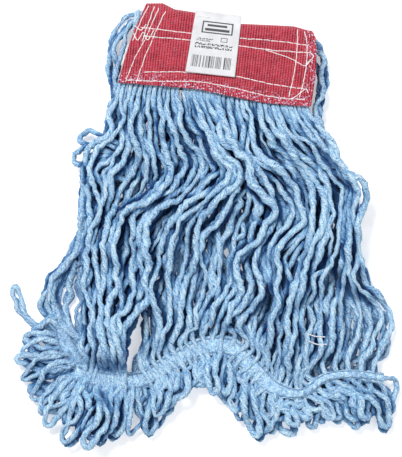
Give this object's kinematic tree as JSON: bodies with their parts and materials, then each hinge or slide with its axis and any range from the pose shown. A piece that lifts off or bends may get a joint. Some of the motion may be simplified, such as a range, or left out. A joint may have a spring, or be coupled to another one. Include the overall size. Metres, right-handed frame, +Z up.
{
  "type": "string mop head",
  "caption": "Looped-end wet mop head: a wide sewn mesh headband folded over, with two leaves of blue looped yarn, stitched tail bands and a plain label.",
  "frame": {"origin": "under the middle of the outline of the mop head as it lies flat, on the surface that it lies on", "axes": "+Z up, out of the upper leaf; +X along the headband's fold, to the right of someone looking down at the label the right way up; +Y from the loop ends to the fold"},
  "size_m": [0.3395, 0.3759, 0.034],
  "materials": {
    "front_yarn": "heather-blue four-ply cotton and synthetic yarn, matt and slightly hairy",
    "back_yarn": "heather-blue four-ply cotton and synthetic yarn, matt and slightly hairy",
    "tail_band_yarn": "loops pressed side by side and oversewn into a flat band",
    "headband_mesh": "red ribbed open mesh, matt",
    "headband_lining": "red plain mesh lining, matt",
    "white_thread": "white polyester lockstitch thread",
    "blue_thread": "pale blue sewing thread sunk in the yarn",
    "label": "white spun-bonded sheet with plain grey printed marks"
  },
  "bodies": {
    "back_leaf": {"headband_back_panel": "headband_mesh", "headband_back_lining": "headband_lining", "back_yarn_mat": "back_yarn", "headband_fold_cover": "headband_mesh", "headband_fold_lining": "headband_lining", "yarn_fold": "back_yarn", "back_upper_row_a": "white_thread", "back_upper_row_b": "white_thread", "back_lower_row_a": "white_thread", "back_lower_row_b": "white_thread", "back_left_row_a": "white_thread", "back_left_row_b": "white_thread", "back_right_row_a": "white_thread", "back_right_row_b": "white_thread", "back_yarn_bundle_1": "back_yarn", "back_yarn_bundle_2": "back_yarn", "back_yarn_bundle_3": "back_yarn", "back_yarn_bundle_4": "back_yarn", "back_yarn_bundle_5": "back_yarn", "back_tail_band": "tail_band_yarn", "back_tail_stitch_upper": "blue_thread", "back_tail_stitch_lower": "blue_thread", "back_fringe_far_left": "back_yarn", "back_fringe_left": "back_yarn", "back_fringe_middle": "back_yarn", "back_fringe_right": "back_yarn", "slack_yarn_left": "back_yarn", "slack_yarn_right": "back_yarn", "stray_loop": "front_yarn"},
    "front_leaf": {"headband_front_panel": "headband_mesh", "headband_front_lining": "headband_lining", "front_yarn_mat": "front_yarn", "front_upper_row_a": "white_thread", "front_upper_row_b": "white_thread", "front_lower_row_a": "white_thread", "front_lower_row_b": "white_thread", "front_left_row_a": "white_thread", "front_left_row_b": "white_thread", "front_right_row_a": "white_thread", "front_right_row_b": "white_thread", "front_loose_thread": "white_thread", "label_sewn_end": "label", "label_stitch": "white_thread"},
    "front_skirt": {"front_yarn_bundle_1": "front_yarn", "front_yarn_bundle_2": "front_yarn", "front_yarn_bundle_3": "front_yarn", "front_yarn_bundle_4": "front_yarn", "front_yarn_bundle_5": "front_yarn", "front_yarn_bundle_6": "front_yarn", "front_yarn_bundle_7": "front_yarn", "front_yarn_bundle_8": "front_yarn", "front_tail_band": "tail_band_yarn", "front_tail_stitch_upper": "blue_thread", "front_tail_stitch_lower": "blue_thread", "front_fringe_far_left": "front_yarn", "front_fringe_left": "front_yarn", "front_fringe_middle": "front_yarn", "front_fringe_right": "front_yarn", "front_fringe_far_right": "front_yarn"},
    "label": {"label_flap": "label"}
  },
  "joints": [
    {"name": "headband_fold", "type": "hinge", "parent": "back_leaf", "child": "front_leaf", "pos_m": [0, 0.1836, 0.015], "axis": [-1, 0, 0], "range_deg": [0, 170], "deforming": ["headband_fold_cover", "headband_fold_lining", "yarn_fold"]},
    {"name": "front_skirt_lift", "type": "hinge", "parent": "front_leaf", "child": "front_skirt", "pos_m": [0, 0.112, 0.0272], "axis": [1, 0, 0], "range_deg": [-90, 0]},
    {"name": "label_flip", "type": "hinge", "parent": "front_leaf", "child": "label", "pos_m": [-0.0215, 0.179, 0.0299], "axis": [1, 0, 0], "range_deg": [-150, 0]}
  ]
}
